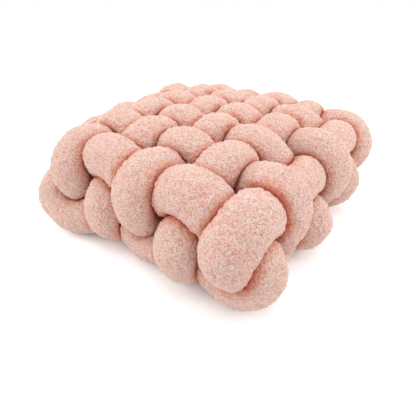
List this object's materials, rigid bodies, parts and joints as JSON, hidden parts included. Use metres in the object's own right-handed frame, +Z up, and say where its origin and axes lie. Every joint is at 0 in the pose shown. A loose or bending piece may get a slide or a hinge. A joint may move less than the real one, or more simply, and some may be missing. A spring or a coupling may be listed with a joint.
{
  "type": "knotted floor cushion",
  "caption": "Square floor cushion of fat stuffed fleece tubes woven over and under each other in two layers.",
  "frame": {"origin": "centre of the underside, on the surface that the cushion lies on", "axes": "+Z up through the cushion's thickness; X and Y along its two sets of tubes"},
  "size_m": [0.4902, 0.4828, 0.1747],
  "materials": {
    "fleece": "curly pile, matt"
  },
  "bodies": {
    "root": {"tube_x1": "fleece", "tube_x2": "fleece", "tube_x3": "fleece", "tube_x4": "fleece", "tube_x5": "fleece", "tube_x6": "fleece", "tube_y1": "fleece", "tube_y2": "fleece", "tube_y3": "fleece", "tube_y4": "fleece", "tube_y5": "fleece", "tube_y6": "fleece"}
  },
  "joints": []
}
